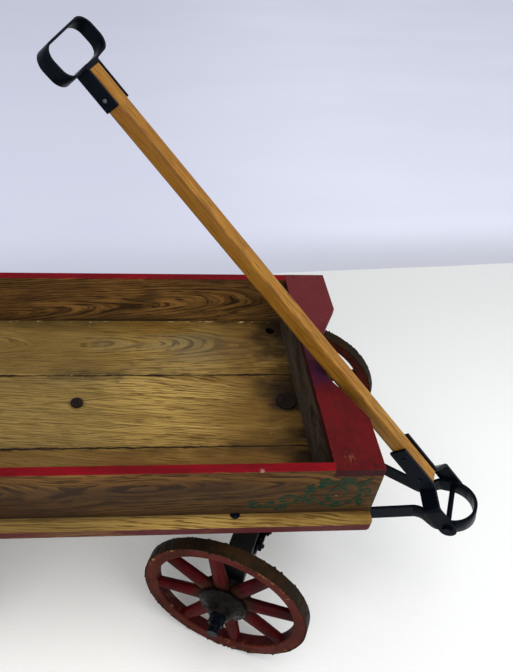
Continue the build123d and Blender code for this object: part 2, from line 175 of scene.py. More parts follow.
# %% A finish is a material with its own bench
class Finish(Bench):
    def __init__(self, name, roughness=0.5, coat=0.0, gloss=0.22):
        self.material = bpy.data.materials.new(name)
        self.material.use_nodes = True
        super().__init__(self.material.node_tree)
        self.tree.nodes.clear()
        self.surface = self.node("ShaderNodeBsdfPrincipled", {
            "Roughness": roughness, "Coat Weight": coat, "Coat Roughness": 0.25, "Specular IOR Level": gloss})
        self.node("ShaderNodeOutputMaterial", {"Surface": self.surface.outputs[0]})
        spot = self.node("ShaderNodeTexCoord")
        self.spot, self.facing = spot.outputs["Object"], spot.outputs["Normal"]

    def vector(self, operation, a, b=(0, 0, 0), output=0):
        return self.node("ShaderNodeVectorMath", {0: a, 1: b}, operation=operation).outputs[output]

    def noise(self, vector, scale=1.0, detail=2.0, roughness=0.5):
        return self.node("ShaderNodeTexNoise", {
            "Vector": vector, "Scale": scale, "Detail": detail, "Roughness": roughness}).outputs[0]

    def drawn(self, scales, detail=2.0, roughness=0.5, spot=None):
        """Noise with a scale of its own along each axis, finer where that is larger."""
        spot = self.spot if spot is None else spot
        return self.noise(self.vector("MULTIPLY", spot, scales), 1.0, detail, roughness)

    def between(self, value, low, high, start=0.0, stop=1.0):
        return self.node("ShaderNodeMapRange", {
            "Value": value, "From Min": low, "From Max": high, "To Min": start, "To Max": stop},
            interpolation_type="SMOOTHSTEP").outputs[0]

    def mix(self, share, first, second):
        return self.node("ShaderNodeMix", {0: share, 6: first, 7: second}, data_type="RGBA").outputs[2]

    def edges(self, radius=0.0015):
        """1 along the piece's outer edges and 0 on its flats."""
        rounded = self.node("ShaderNodeBevel", {"Radius": radius}, samples=4).outputs[0]
        flat = self.node("ShaderNodeNewGeometry").outputs["Normal"]
        return self.between(self.vector("DOT_PRODUCT", rounded, flat, output=1), 0.99, 0.8)

    def relief(self, height, depth):
        self.feed(self.surface.inputs["Normal"], self.node(
            "ShaderNodeBump", {"Height": height, "Distance": depth}).outputs[0])

    def colour(self, value):
        self.feed(self.surface.inputs["Base Color"], value)

    def roughness(self, value):
        self.feed(self.surface.inputs["Roughness"], value)


def paint(*colour):
    return (*colour, 1.0)

# %% [markdown]
# ## The stage
# The wagon stands on a white floor in front of a pale cloth. A standing cloth would hide the wagon
# from behind, so the cloth lies flat on the floor and starts where the picture shows its hem.

# %% Floor and cloth
HEM = ((0.4783, 0.6817), (1.0002, 0.7218))


def stage_finish():
    f = Finish("studio_floor", roughness=0.6)
    x, y, _ = f.split(f.spot)
    slope = (HEM[1][1] - HEM[0][1]) / (HEM[1][0] - HEM[0][0])
    past = f.minus(y, f.math("MULTIPLY_ADD", x, slope, HEM[0][1] - slope * HEM[0][0]))
    past = f.math("ADD", past, f.times(f.noise(f.spot, 9.0), 0.006))
    mottle = f.between(f.noise(f.spot, 2.2, 4.0), 0.35, 0.65)
    white = f.mix(mottle, paint(0.85, 0.85, 0.84), paint(0.87, 0.87, 0.865))
    # Painted light on the floor: painted shade deepens towards the cloth's hem, and a painted pool of light
    # makes the floor paler to the left.
    white = f.mix(f.between(past, -0.60, 0.0, 0.0, 0.7), white, paint(0.67, 0.675, 0.675))
    white = f.mix(f.between(x, 0.35, 0.0), white, paint(0.95, 0.94, 0.92))
    weave = f.noise(f.spot, 260.0, 1.0)
    cloth = f.mix(f.between(weave, 0.3, 0.7), paint(0.735, 0.755, 0.895), paint(0.78, 0.80, 0.935))
    # Lighter streaks on the flat cloth are painted highlights, standing in for folds that catch the light.
    fold_highlight = f.drawn((1.5, 5.0, 1.0))
    cloth = f.mix(f.between(fold_highlight, 0.35, 0.7, 0.0, 0.35), cloth, paint(0.83, 0.845, 0.95))
    # Painted shade: the cloth darkens near its hem and towards the left.
    cloth = f.mix(f.between(past, 0.20, 0.0, 0.0, 0.9), cloth, paint(0.52, 0.53, 0.60))
    cloth = f.mix(f.between(x, 0.75, -0.10, 0.0, 0.6), cloth, paint(0.60, 0.615, 0.74))
    f.colour(f.mix(f.between(past, 0.0, 0.004), white, cloth))
    f.relief(weave, 0.0003)
    return f.material


def flat_mesh(name, corners, material):
    mesh = bpy.data.meshes.new(name)
    mesh.from_pydata(corners, [], [range(len(corners))])
    mesh.materials.append(material)
    return placed(name, mesh)


FAR = 9
far_corners = [(-FAR, -FAR, 0), (FAR, -FAR, 0), (FAR, FAR, 0), (-FAR, FAR, 0)]
studio = flat_mesh("studio_floor", far_corners, stage_finish())
print("stage", studio.dimensions[:])

# %% [markdown]
# ## Light
# The picture's light comes mostly from above on the right and is soft: the pole's upper side is
# bright, its near side is half as bright, and the shadow under the bed is pale and has no edge.
# Two wide lamps and an even sky make that, set so that a colour renders about as it is written.

# %% Lamps and sky
def wide_lamp(name, place, target, size, power, colour):
    lamp = bpy.data.lights.new(name, "AREA")
    lamp.size, lamp.energy, lamp.color = size, power, colour
    aim = (Vector(target) - Vector(place)).to_track_quat("-Z", "Y")
    placed(name, lamp).matrix_world = Matrix.Translation(place) @ aim.to_matrix().to_4x4()


wide_lamp("overhead_lamp", (0.8, -0.7, 2.8), (0.1, -0.2, 0.1), 2.2, 42, (1.0, 0.985, 0.955))
wide_lamp("window_lamp", (-1.2, -2.5, 1.9), (-0.1, -0.3, 0.0), 2.2, 38, (0.97, 0.985, 1.0))
sky = bpy.data.worlds.new("sky")
sky.use_nodes = True
bpy.context.scene.world = sky
bench = Bench(sky.node_tree)
sky.node_tree.nodes.clear()
ray = bench.node("ShaderNodeLightPath")
seen = bench.node("ShaderNodeBackground", {0: paint(0.72, 0.73, 0.80), 1: 1.0})
around = bench.node("ShaderNodeBackground", {0: paint(0.95, 0.975, 1.0), 1: 0.68})
shown = bench.most(*(ray.outputs[kind] for kind in ("Is Camera Ray", "Is Glossy Ray", "Is Transmission Ray")))
either = bench.node("ShaderNodeMixShader", {0: shown, 1: around.outputs[0], 2: seen.outputs[0]})
bench.node("ShaderNodeOutputWorld", {0: either.outputs[0]})

# %% [markdown]
# ## Wood
# All the boards are oak or ash, sawn flat, so growth rings show as long arches and the pores as
# short dark dashes. A picture of wood would not wrap round a board's end, so the grain is worked
# out in space: rings lie round a pith under the board that runs a little askew to it, so that they
# come out as arches, and the fine streaks and pores follow the rings. The same recipe, turned and
# shifted, serves every board.

# %% Grain along X, rings round a pith that lies under the board
def length(f, a, b):
    return f.math("SQRT", f.math("ADD", f.times(a, a), f.times(b, b)))


def grain(f, spot, seed, pith=(0.0, -0.2), slope=0.05, year=0.003, skew=0.0):
    x, y, z = f.split(spot)
    y = f.math("MULTIPLY_ADD", x, skew, y)
    shifted = f.vector("ADD", spot, (seed * 1.37, seed * 0.61, seed * 0.29))
    bend = f.drawn((2.6, 6, 6), spot=shifted)
    ripple = f.drawn((9, 70, 70), spot=shifted)
    under = f.math("MULTIPLY_ADD", bend, 0.045, f.minus(z, pith[1] + 0.022))
    under = f.math("MULTIPLY_ADD", x, slope, under)
    aside = f.minus(y, pith[0])
    far = f.math("MULTIPLY_ADD", ripple, 0.9 * year, length(f, aside, under))
    along = f.join(f.math("ADD", x, seed * 1.37), far, f.times(aside, 0.1))
    ring = f.math("FRACT", f.math("DIVIDE", far, year))
    streak = f.drawn((6, 380, 120), 5.0, 0.75, spot=along)
    dash = f.drawn((28, 640, 200), spot=along)
    pores = f.between(f.math("MULTIPLY_ADD", ring, -0.12, dash), 0.48, 0.58)
    shade = f.drawn((2.4, 16, 16), 3.0, 0.6, spot=shifted)
    return ring, streak, pores, shade


def timber(f, spot, seed, pale, deep, pore, contrast=0.8, **figure):
    """Colour of bare or varnished wood, and the height of its grain."""
    ring, streak, pores, shade = grain(f, spot, seed, **figure)
    line = f.times(f.between(ring, 0.6, 0.0), f.between(shade, 0.3, 0.65, 0.4 * contrast, contrast))
    wood = f.mix(f.between(shade, 0.38, 0.66, 0.0, 0.55), pale, deep)
    wood = f.mix(f.between(streak, 0.45, 0.60, 0.0, 0.8), wood, deep)
    wood = f.mix(line, wood, deep)
    wood = f.mix(f.times(pores, 0.8), wood, pore)
    height = f.minus(f.times(streak, -0.5), pores)
    return wood, height

# %% [markdown]
# ## The bed's floor
# Three oak planks under old, thin varnish. The middle is golden. Dirt has settled along the joints
# and round the kingpin, and the wood also darkens towards the front board and along the walls; in
# these places it is nearly black. The ledges carry painted shade where they meet the side boards,
# and the bolt hole is painted near black as painted shade. The outer edges of the floor carry the
# same red paint as the rims.

# %% Floor planks
PALE_OAK, DEEP_OAK = paint(0.445, 0.290, 0.080), paint(0.155, 0.080, 0.015)
# The near black brown on this line serves for dirt and also for painted shade on the ledges.
OAK_PORE, GRIME_AND_SHADE = paint(0.06, 0.030, 0.008), paint(0.016, 0.010, 0.005)
BED_HOLE, CENTRE_BOLT = (0.2226, 0.1546), (-0.0909, 0)
INSIDE_TO = 0.179
seams = [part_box("floor_board_middle")[end].y for end in (0, 1)]


def near(f, value, middle, inner, outer):
    """1 where value is within inner of middle, fading to 0 at outer."""
    return f.between(f.size(f.minus(value, middle)), outer, inner)


def round_spot(f, x, y, spot, inner, outer):
    """1 at a bolt or hole, fading to 0 at outer."""
    across = f.join(f.minus(x, spot[0]), f.minus(y, spot[1]), 0.0)
    return f.between(f.vector("LENGTH", across, output=1), outer, inner)


def floor_finish(name, seed, across, skew):
    f = Finish(name, coat=0.04, gloss=0.09)
    x, y, _ = f.split(f.spot)
    aside = f.size(y)
    wood, height = timber(f, f.spot, seed, PALE_OAK, DEEP_OAK, OAK_PORE, 0.62, pith=(across, 0.262),
                          slope=0.045, year=0.0028, skew=skew)
    cloud = f.drawn((6, 14, 14), 4.0, 0.65)
    patch = f.drawn((2.6, 9, 9), 3.0)
    fine = f.drawn((60, 160, 160))
    wood = f.mix(f.between(patch, 0.46, 0.60, 0.0, 0.8), wood, DEEP_OAK)
    wood = f.mix(f.between(x, 0.04, -0.10, 0.0, 0.55), wood, paint(0.125, 0.082, 0.027))
    wood = f.mix(f.times(f.between(patch, 0.50, 0.38), f.between(y, 0.02, 0.10, 0.0, 0.45)), wood,
                 paint(0.115, 0.105, 0.070))
    wood = f.mix(f.times(f.between(x, 0.08, 0.19), f.between(cloud, 0.36, 0.56, 0.35, 0.85)), wood,
                 paint(0.135, 0.066, 0.012))
    strip = f.times(f.between(y, -0.076, -0.088), f.between(y, -0.19, -0.18))
    wood = f.mix(f.times(strip, f.between(cloud, 0.35, 0.6, 0.45, 0.85)), wood, paint(0.118, 0.053, 0.009))
    wobbly = f.math("MULTIPLY_ADD", fine, 0.006, f.minus(y, 0.003))
    gape = f.between(f.drawn((13, 3, 3), 1.0), 0.36, 0.66, 0.0010, 0.0038)
    seam = f.most(*(near(f, wobbly, at, 0.0003, gape) for at in seams))
    halo = f.most(*(near(f, wobbly, at, 0.0, 0.022) for at in seams))
    halo = f.times(halo, f.between(cloud, 0.42, 0.66, 0.0, 0.6))
    front = f.between(f.math("MULTIPLY_ADD", cloud, 0.30, x), 0.310, 0.400, 0.0, 0.95)
    walls = f.times(f.between(aside, 0.150, 0.178), f.between(cloud, 0.38, 0.60, 0.2, 0.85))
    pins = f.most(round_spot(f, x, y, kingpin, 0.012, 0.040), round_spot(f, x, y, CENTRE_BOLT, 0.008, 0.016),
                  round_spot(f, x, y, BED_HOLE, 0.008, 0.045))
    pins = f.times(pins, f.between(cloud, 0.36, 0.60, 0.45, 1.0))
    darkening = f.most(front, walls, seam, halo, pins)
    inside = f.math("LESS_THAN", aside, INSIDE_TO)
    wood = f.mix(f.times(darkening, inside), wood, GRIME_AND_SHADE)
    wood = f.mix(f.times(f.between(fine, 0.60, 0.66), near(f, y, 0.1755, 0.0008, 0.0026)), wood,
                 paint(0.42, 0.30, 0.16))
    # The bolt hole is painted near black, as painted shade for its dark inside.
    wood = f.mix(round_spot(f, x, y, BED_HOLE, 0.0072, 0.0080), wood, paint(0.003, 0.003, 0.003))
    # Painted shade: the ledge darkens where it meets the side board's outer face.
    ledge_shade = f.between(aside, 0.1985, 0.1910, 0.0, 0.45)
    wood = f.mix(f.minus(ledge_shade, f.times(inside, ledge_shade)), wood, GRIME_AND_SHADE)
    wood = f.mix(f.between(aside, 0.185, 0.190, 0.0, 0.15), wood, paint(0.14, 0.068, 0.018))
    rim = f.math("GREATER_THAN", f.size(f.split(f.facing)[1]), 0.6)
    rim = f.times(rim, f.math("GREATER_THAN", aside, 0.19))
    red = f.mix(cloud, paint(0.078, 0.004, 0.006), paint(0.040, 0.004, 0.005))
    f.colour(f.mix(f.times(rim, f.between(cloud, 0.5, 0.7, 1.0, 0.6)), wood, red))
    f.roughness(f.between(cloud, 0.3, 0.7, 0.40, 0.64))
    f.relief(f.minus(height, f.times(seam, 3.0)), 0.00035)
    return f.material


def coated(mesh, material):
    mesh.materials.clear()
    mesh.materials.append(material)
    return mesh


def dress(node, material):
    """Give a CAD node a finish."""
    piece = frame["nodes"][node]
    coated(piece.data, material)


PLANKS = (("right", -0.150, 0.10), ("middle", 0.075, 0.11), ("left", 0.125, 0.0))
for seed, (side, across, skew) in enumerate(PLANKS, 3):
    dress("floor_board_" + side, floor_finish("oak_floor_" + side, seed, across, skew))
print("floor planks dressed")

# %% [markdown]
# ## Side boards and end boards
# The side boards are stained dark, their arches of grain still showing, and their top edges are
# painted red. The rim's paint sits only on top, worn through at its corners. The end boards are
# darker and have no paint. The grain follows each board's length, so its axes are swapped first.

# %% Side and end boards
def side_finish(name, seed, pith, skew, pale, deep, stain, gloom, darkening):
    """Stained oak. gloom darkens its lower part, and the last number its front end and its foot."""
    f = Finish(name, gloss=0.04)
    x, y, z = f.split(f.spot)
    wood, height = timber(f, f.join(x, z, y), seed, pale, deep, paint(0.018, 0.010, 0.005), 0.65, pith=pith,
                          slope=0.07, year=0.0042, skew=skew)
    cloud = f.drawn((7, 20, 20), 4.0, 0.65)
    wood = f.mix(f.between(cloud, 0.50, 0.68, 0.0, 0.7), wood, stain)
    lower = f.between(z, side_top - 0.013, side_top - 0.038, 0.0, gloom)
    wood = f.mix(lower, wood, paint(0.022, 0.015, 0.011))
    wood = f.mix(f.between(x, -0.10, -0.24, 0.0, 0.5), wood, paint(0.034, 0.014, 0.006))
    wood = f.mix(f.between(x, 0.14, 0.23, 0.0, 0.55 * darkening), wood, paint(0.030, 0.016, 0.008))
    foot = f.between(z, floor_top + 0.010, floor_top)
    wood = f.mix(f.times(foot, f.between(cloud, 0.35, 0.6, 0.4 * darkening, darkening)), wood, GRIME_AND_SHADE)
    ragged = f.times(f.minus(f.noise(f.spot, 180.0), 0.5), 0.0016)
    top = f.between(f.math("ADD", z, ragged), side_top - 0.0011, side_top - 0.0005)
    rubbed = f.times(f.edges(), f.between(f.noise(f.spot, 130.0, 3.0), 0.50, 0.60))
    red = f.mix(f.between(cloud, 0.35, 0.65), paint(0.19, 0.003, 0.008), paint(0.115, 0.003, 0.006))
    wood = f.mix(f.times(top, f.minus(1.0, rubbed)), wood, red)
    chip = f.times(round_spot(f, x, z, (0.145, side_top), 0.0, 0.0042), near(f, y, -SIDE_FACE, 0.0, 0.006))
    f.colour(f.mix(f.times(chip, 0.6), wood, paint(0.34, 0.28, 0.22)))
    f.roughness(f.between(cloud, 0.3, 0.7, 0.40, 0.62))
    f.relief(height, 0.0003)
    return f.material


def end_finish(name, seed):
    f = Finish(name, roughness=0.6, gloss=0.1)
    x, y, z = f.split(f.spot)
    wood, height = timber(f, f.join(y, z, x), seed, paint(0.085, 0.064, 0.044), paint(0.040, 0.029, 0.021),
                          paint(0.010, 0.008, 0.006), pith=(0.35, 0.20), year=0.004)
    cloud = f.drawn((20, 8, 20), 4.0)
    f.colour(f.mix(f.between(cloud, 0.45, 0.7, 0.0, 0.7), wood, GRIME_AND_SHADE))
    f.relief(height, 0.0003)
    return f.material


left_stain = side_finish("stained_side_left", 11, (0.335, 0.148), -0.10, paint(0.250, 0.127, 0.034),
                         paint(0.056, 0.025, 0.009), paint(0.050, 0.026, 0.011), 0.0, 1.0)
right_stain = side_finish("stained_side_right", 17, (0.360, -0.225), 0.0, paint(0.165, 0.082, 0.020),
                          paint(0.056, 0.024, 0.008), paint(0.050, 0.022, 0.011), 0.6, 0.3)
dress("side_board_left", left_stain)
dress("side_board_right", right_stain)
for seed, end in enumerate(("front", "rear"), 21):
    dress("end_board_" + end, end_finish("dark_end_" + end, seed))
print("box boards dressed")

# %% [markdown]
# ## Red paint on wood
# The front cap, the felloes and the spokes are red. Old paint is not one colour: it darkens with
# dirt, it shows the grain under it, and it is gone where hands, the handle and stones rub it.
# One recipe mixes paint, dirt and bare wood, and each piece gives it the way its grain runs.

# %% Worn red paint
def red_over(f, spot, seed, fresh, stale, bare, chips):
    _, streak, pores, _ = grain(f, spot, seed)
    cloud = f.drawn((16, 16, 16), 4.0, 0.7)
    skin = f.mix(f.between(cloud, 0.35, 0.68), fresh, stale)
    skin = f.mix(f.between(streak, 0.45, 0.75, 0.0, 0.3), skin, stale)
    skin = f.mix(f.times(pores, 0.3), skin, GRIME_AND_SHADE)
    speck = f.noise(f.spot, 75.0, 4.0, 0.7)
    rubbed = f.times(f.edges(), f.between(speck, 0.52, 0.60))
    rubbed = f.most(rubbed, f.between(speck, chips, chips + 0.03))
    return f.mix(rubbed, skin, bare), rubbed, cloud, pores


def paint_over(f, colour, rubbed, cloud, pores):
    f.colour(colour)
    f.roughness(f.between(cloud, 0.3, 0.7, 0.42, 0.66))
    f.relief(f.minus(f.times(pores, -0.6), rubbed), 0.00025)


f = Finish("red_cap", gloss=0.05)
x, y, z = f.split(f.spot)
colour, *wear = red_over(f, f.join(y, x, z), 31, paint(0.098, 0.005, 0.006), paint(0.054, 0.004, 0.005),
                         paint(0.20, 0.075, 0.028), 0.70)
cloud = wear[1]
POLE_RUBS, SCRATCHED = (0.250, -0.004), (0.262, -0.172)
stain = f.times(round_spot(f, x, y, POLE_RUBS, 0.024, 0.062), f.between(cloud, 0.32, 0.50, 0.35, 0.95))
colour = f.mix(stain, colour, paint(0.030, 0.006, 0.021))
rub = f.between(f.drawn((260, 120, 120), 3.0), 0.48, 0.62, 0.0, 0.45)
colour = f.mix(f.times(round_spot(f, x, y, SCRATCHED, 0.002, 0.015), rub), colour, paint(0.20, 0.060, 0.028))
# The far half of the cap turns paler and pinker: a painted sheen, standing in for the pale cloth reflected at
# a low angle.
colour = f.mix(f.between(y, -0.02, 0.10, 0.0, 0.5), colour, paint(0.135, 0.030, 0.034))
# Painted shade: the cap's rear face and its end faces are darkened by the way they face.
out_x, out_y, _ = f.split(f.facing)
shaded = f.most(f.between(out_x, -0.3, -0.8), f.between(f.size(out_y), 0.3, 0.8))
colour = f.mix(f.times(shaded, 0.75), colour, paint(0.020, 0.006, 0.007))
paint_over(f, colour, *wear)
dress("front_cap", f.material)
print("cap painted")

# %% [markdown]
# ## Wheels
# A wheel turns, so its finish must follow the wheel's own round: the grain of the bent felloe runs
# round the rim, and that of each spoke runs outward. A Mapping node carries the point to the
# wheel's centre with its axle along Z. There, angle and radius replace X and Y.

# %% A wheel's own directions
WHEELS = {"front_left": 1, "front_right": -1, "rear_left": 1, "rear_right": -1}


def wheel_place(wheel):
    """Matrix from a wheel lying flat at the origin, its outer side up, to where it stands."""
    joint = joints["wheel_spin_" + wheel]
    about = turn if wheel.startswith("front") else 0.0
    return (Matrix.Translation(joint["pos_m"]) @ Matrix.Rotation(about, 4, "Z")
            @ Matrix.Rotation(math.radians(-90 * WHEELS[wheel]), 4, "X"))


def carried_back(f, place):
    back = place.inverted()
    return f.node("ShaderNodeMapping", {"Vector": f.spot, "Location": back.translation,
                                        "Rotation": back.to_euler()}).outputs[0]


def round_and_out(f, place):
    """Angle, radius and height of a point about the wheel's axle."""
    x, y, z = f.split(carried_back(f, place))
    return f.math("ARCTAN2", y, x), length(f, x, y), z


for wheel in WHEELS:
    print(wheel, "centre at", [round(n, 4) for n in wheel_place(wheel).translation])

# %% Felloes and spokes
FELLOE_RED = (paint(0.076, 0.009, 0.006), paint(0.038, 0.008, 0.004), paint(0.20, 0.085, 0.026))
SPOKE_RED = (paint(0.054, 0.001, 0.002), paint(0.018, 0.001, 0.002), paint(0.16, 0.07, 0.028))
SPOKE_STEP, SPOKE_PHASE = math.radians(45), math.radians(15)


def felloe_finish(wheel, seed):
    f = Finish("red_felloe_" + wheel, gloss=0.04)
    angle, radius, height = round_and_out(f, wheel_place(wheel))
    colour, *wear = red_over(f, f.join(f.times(angle, 0.11), radius, height), seed, *FELLOE_RED, 0.67)
    nibbled = f.between(f.noise(f.spot, 110.0, 4.0, 0.7), 0.52, 0.60)
    often = f.between(f.noise(f.spot, 9.0, 1.0), 0.48, 0.62)
    rim = f.most(f.between(radius, 0.1145, 0.1185), f.between(radius, 0.1045, 0.1030))
    rim = f.times(rim, f.times(nibbled, often))
    # Painted shade: the felloe's inner face, between the spokes, is darkened all round.
    inner = f.between(radius, 0.1036, 0.1031, 0.0, 0.65)
    colour = f.mix(inner, f.mix(rim, colour, paint(0.26, 0.115, 0.035)), paint(0.022, 0.003, 0.005))
    paint_over(f, colour, *wear)
    return f.material


def spoke_finish(wheel, seed):
    f = Finish("red_spokes_" + wheel, gloss=0.02, coat=0.06)
    angle, radius, height = round_and_out(f, wheel_place(wheel))
    angle = f.minus(angle, SPOKE_PHASE)
    which = f.math("ROUND", f.math("DIVIDE", angle, SPOKE_STEP))
    off = f.minus(angle, f.times(which, SPOKE_STEP))
    spot = f.join(f.math("ADD", radius, which), f.times(radius, off), height)
    colour, *wear = red_over(f, spot, seed, *SPOKE_RED, 0.70)
    dirty = f.times(f.between(radius, 0.055, 0.036), 0.7)
    paint_over(f, f.mix(dirty, colour, GRIME_AND_SHADE), *wear)
    return f.material


for seed, wheel in enumerate(WHEELS, 41):
    dress("felloe_" + wheel, felloe_finish(wheel, seed))
    dress("spokes_" + wheel, spoke_finish(wheel, seed + 10))
print("wheels painted", list(WHEELS))

# %% [markdown]
# ## Iron
# Three main kinds: the tyres are bare steel gone brown, the hubs are cast iron with old grease on
# them, and the straps, grip and pins are black paint with a half gloss that lets a little metal
# through at the edges. The two bolts in the floor have browned. Rust is rough and not metallic, so
# one mask drives colour, metal and roughness.

# %% Tyres, hubs and straps
def iron_finish(name, base, rust, share, gloss, dull, edge, lumps=40.0):
    f = Finish(name, gloss=0.04)
    cloud = f.noise(f.spot, lumps, 5.0, 0.7)
    fine = f.noise(f.spot, lumps * 12, 3.0, 0.6)
    rusty = f.between(cloud, share, share + 0.16)
    body = f.mix(f.between(fine, 0.35, 0.7, 0.0, 0.5), base, edge)
    skin = f.mix(rusty, body, f.mix(fine, rust, base))
    shine = f.times(f.edges(0.001), f.between(fine, 0.45, 0.6, 0.0, 0.7))
    f.colour(f.mix(shine, skin, edge))
    f.feed(f.surface.inputs["Metallic"], f.times(f.minus(1.0, rusty), 0.35))
    f.roughness(f.mix(rusty, paint(gloss, gloss, gloss), paint(dull, dull, dull)))
    f.relief(f.math("ADD", cloud, f.times(fine, 0.4)), 0.0005)
    return f.material


tyre_steel = iron_finish("browned_tyre", paint(0.012, 0.008, 0.004), paint(0.042, 0.018, 0.007), 0.46,
                         0.55, 0.9, paint(0.034, 0.021, 0.011))
hub_iron = iron_finish("greasy_hub", paint(0.0022, 0.0022, 0.0022), paint(0.019, 0.012, 0.008), 0.47,
                       0.28, 0.75, paint(0.012, 0.009, 0.008), lumps=75.0)
# The straps' black has a blue tint, a painted reflection of the pale blue cloth.
strap_iron = iron_finish("black_strap", paint(0.0012, 0.0026, 0.0052), paint(0.007, 0.006, 0.006), 0.66,
                         0.34, 0.6, paint(0.0065, 0.0095, 0.0145))
for wheel in WHEELS:
    dress("tyre_" + wheel, tyre_steel)
    dress("hub_" + wheel, hub_iron)
bolt_iron = iron_finish("browned_bolt", paint(0.009, 0.008, 0.008), paint(0.028, 0.015, 0.009), 0.44,
                        0.55, 0.85, paint(0.022, 0.017, 0.013), lumps=90.0)
for node in ("kingpin", "centre_bolt"):
    dress(node, bolt_iron)
IRON = ("axle_rear", "rear_brace", "axle_front", "turn_plate_lower", "turn_plate_upper", "drawbar",
        "drawbar_pin", "yoke_strap_left", "yoke_strap_right", "grip")
for node in IRON:
    dress(node, strap_iron)
print("iron dressed", len(IRON))

# %% [markdown]
# ## Black blocks and the pole
# Cleats, bolsters and axle beams are painted black and mostly out of sight. The pole is the one
# bright piece: straight-grained ash under amber varnish, darker on its edges, and with painted shade
# on its side faces.

# %% Black paint on blocks
def black_finish(name, seed, spot_order):
    f = Finish(name, roughness=0.55, gloss=0.1)
    parts = f.split(f.spot)
    spot = f.join(*(parts["xyz".index(axis)] for axis in spot_order))
    _, _, pores, shade = grain(f, spot, seed)
    worn = f.times(f.edges(), f.between(f.noise(f.spot, 60.0, 3.0), 0.5, 0.6))
    skin = f.mix(shade, paint(0.010, 0.012, 0.013), paint(0.020, 0.020, 0.018))
    f.colour(f.mix(worn, skin, paint(0.06, 0.038, 0.020)))
    f.relief(f.times(pores, -1.0), 0.0003)
    return f.material


black_block = black_finish("black_block", 61, "yxz")
BLOCKS = ("cleat_front", "cleat_middle", "cleat_rear", "bolster_front", "bolster_rear", "axle_beam_front",
          "axle_beam_rear")
for node in BLOCKS:
    dress(node, black_block)
print("blocks blackened", len(BLOCKS))

# %% The amber pole
f = Finish("amber_pole", roughness=0.45, coat=0.08, gloss=0.1)
x, y, z = f.split(carried_back(f, handle))
wood, height = timber(f, f.join(z, y, x), 71, paint(0.46, 0.232, 0.040), paint(0.265, 0.110, 0.011),
                      paint(0.10, 0.034, 0.004), 1.0, pith=(-0.10, -0.04), slope=0.012, year=0.0030)
cloud = f.drawn((14, 14, 14), 4.0, 0.6)
wood = f.mix(f.between(cloud, 0.42, 0.68, 0.0, 0.65), wood, paint(0.25, 0.100, 0.012))
fleck = f.drawn((420, 420, 13), 4.0, 0.7, spot=f.join(x, y, z))
wood = f.mix(f.between(fleck, 0.50, 0.64, 0.0, 0.6), wood, paint(0.17, 0.062, 0.007))
out_across, out_up = (f.size(f.vector("DOT_PRODUCT", f.facing, handle.to_3x3() @ Vector(axis), output=1))
                      for axis in ((0, -1, 0), (1, 0, 0)))
# Painted shade: the pole's two side faces are darkened by the way they face.
wood = f.mix(f.between(out_across, 0.5, 0.9, 0.0, 0.7), wood, paint(0.165, 0.066, 0.005))
arris = f.between(f.most(out_across, out_up), 0.985, 0.90)
arris = f.times(arris, f.between(cloud, 0.36, 0.58, 0.1, 0.7))
f.colour(f.mix(arris, wood, paint(0.095, 0.038, 0.008)))
f.relief(height, 0.00018)
dress("pole", f.material)
print("pole varnished")

# %% [markdown]
# ## Small ironwork
# Nails, rivets and bolt heads repeat by the dozen. Modelling each by hand would be slow and would
# make them all alike, so one head is turned from a profile, and Geometry Nodes set copies of it in
# rows or rings, each a little off its mark, as a hammer leaves them. The trees end in real
# geometry with its material, because instances would be lost on export.

# %% Heads turned from a profile
def settled(work, name, material):
    """A mesh of this name and finish, made from a bmesh that has done its work."""
    mesh = bpy.data.meshes.new(name)
    work.to_mesh(mesh)
    work.free()
    return coated(mesh, material)


def turned(name, profile, sides, material):
    """A mesh turned about Z from (radius, height) points in millimetres, from its top down."""
    work = bmesh.new()
    rings = []
    for radius, height in profile:
        if radius == 0:
            rings.append([work.verts.new((0, 0, height * MM))] * sides)
        else:
            angles = [2 * math.pi * (i + 0.5) / sides for i in range(sides)]
            rings.append([work.verts.new((radius * MM * math.cos(a), radius * MM * math.sin(a), height * MM))
                          for a in angles])
    for upper, lower in zip(rings, rings[1:]):
        for i in range(sides):
            j = (i + 1) % sides
            corners = list(dict.fromkeys((upper[i], lower[i], lower[j], upper[j])))
            if len(corners) > 2:
                work.faces.new(corners)
    for face in work.faces:
        face.smooth = sides > 6
    return settled(work, name, material)


def dome(radius, height):
    """Profile of a domed head with a thin rim, sunk a little into what carries it."""
    arch = [(radius * math.sin(a), height * (0.25 + 0.75 * math.cos(a)))
            for a in (i * math.pi / 8 for i in range(5))]
    return [(0, arch[0][1]), *arch[1:], (radius, -0.2), (0, -0.2)]


def nut(radius, height, stud):
    """Profile of a nut with eased corners, and the stud that comes through it."""
    return [(0, height + 2.5), (stud * 0.8, height + 2.5), (stud, height + 2), (stud, height),
            (radius * 0.82, height), (radius, height - 1), (radius, 0), (0, 0)]


# %% A tree for rows and one for rings
def empty_tree(name, labels):
    tree = bpy.data.node_groups.new(name, "GeometryNodeTree")
    for label, kind in labels.items():
        tree.interface.new_socket(label, in_out="INPUT", socket_type="NodeSocket" + kind)
    tree.interface.new_socket("Geometry", in_out="OUTPUT", socket_type="NodeSocketGeometry")
    bench = Bench(tree)
    return bench, bench.node("NodeGroupInput").outputs


def random_vector(bench, low, high, seed):
    return bench.node("FunctionNodeRandomValue", {0: low, 1: high, "Seed": seed},
                      data_type="FLOAT_VECTOR").outputs[0]


def moved_by(bench, geometry, direction, reach):
    """Geometry pushed along direction, as far as reach."""
    way = bench.node("ShaderNodeVectorMath", {0: direction, "Scale": reach}, operation="SCALE").outputs[0]
    return bench.node("GeometryNodeSetPosition", {"Geometry": geometry, "Offset": way}).outputs[0]


def hand_out(bench, geometry, finish):
    """End a tree in real geometry with its material."""
    real = bench.node("GeometryNodeRealizeInstances", {0: geometry})
    done = bench.node("GeometryNodeSetMaterial", {"Geometry": real.outputs[0], "Material": finish})
    bench.node("NodeGroupOutput", {0: done.outputs[0]})


